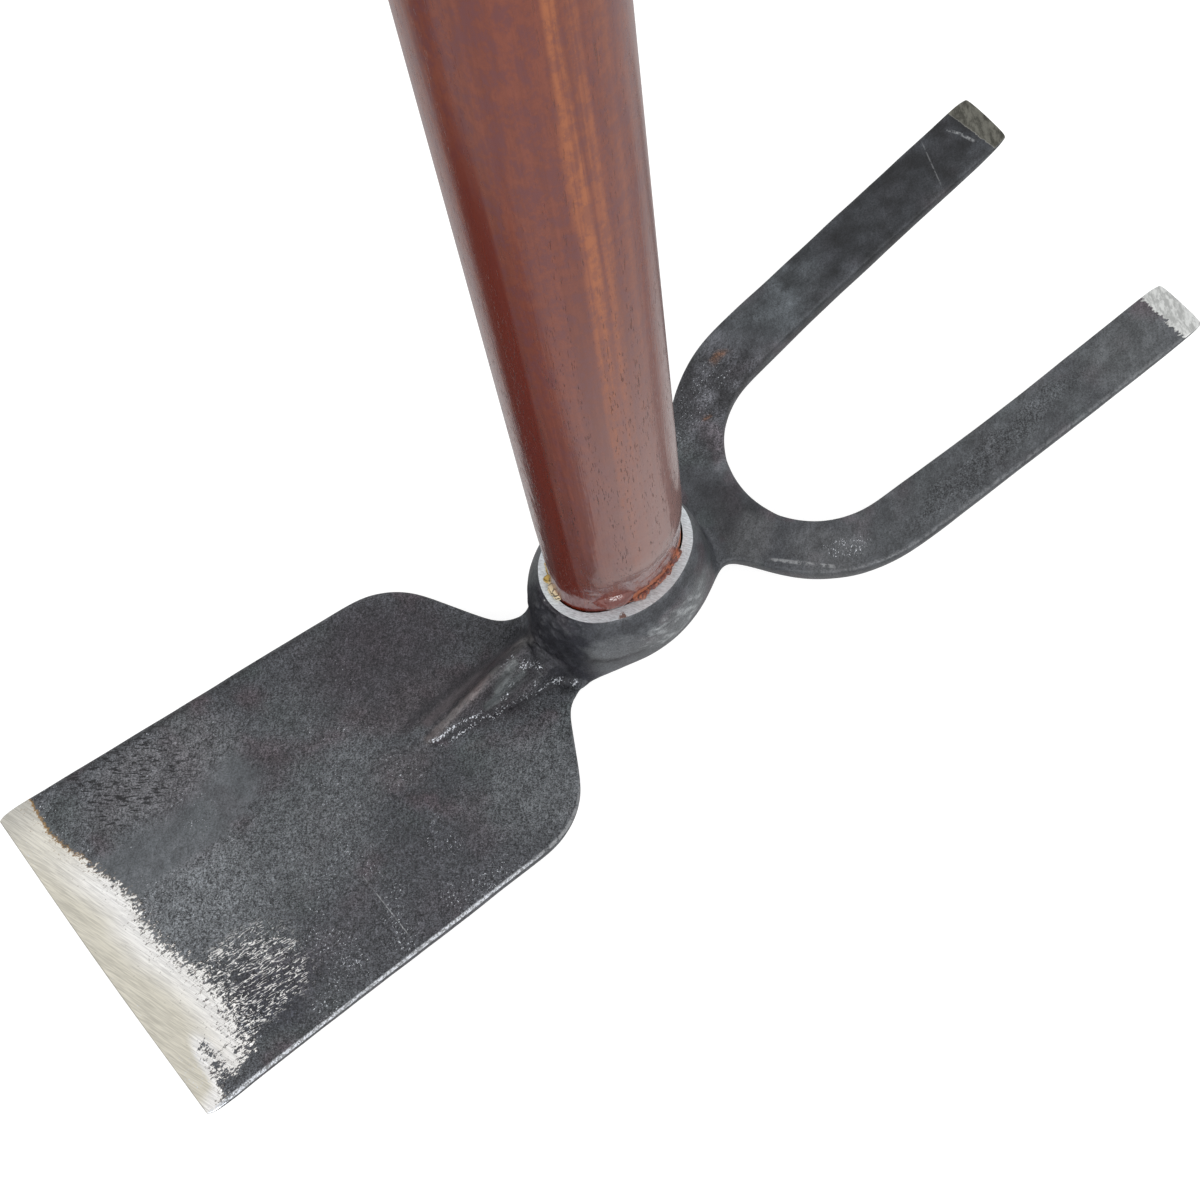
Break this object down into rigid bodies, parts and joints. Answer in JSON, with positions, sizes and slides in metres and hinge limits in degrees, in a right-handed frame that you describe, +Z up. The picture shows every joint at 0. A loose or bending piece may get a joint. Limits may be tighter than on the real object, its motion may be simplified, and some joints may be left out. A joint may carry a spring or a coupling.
{
  "type": "garden hoe",
  "caption": "Garden hoe for weeding and breaking soil: forged head with a flat blade opposite a flat-tipped fork, wedged on a long round varnished wooden handle.",
  "frame": {"origin": "on the handle's axis, at the flat foot of the eye", "axes": "+Z runs up the handle towards its butt, -X points along the blade to its cutting edge, +X points along the fork to the tips of its tines"},
  "size_m": [0.2512, 0.0723, 1.2],
  "materials": {
    "forged_steel": "dark forging scale, ground bright along the cutting edge, the tine tips and the eye's rim",
    "varnished_wood": "glossy red-brown varnish over long-grained wood",
    "wedge_wood": "raw sawn wood",
    "wedge_steel": "plain rolled steel, hammered at the driven end"
  },
  "bodies": {
    "root": {"hoe_head": "forged_steel", "handle": "varnished_wood", "wooden_wedge": "wedge_wood", "steel_wedge": "wedge_steel"}
  },
  "joints": []
}
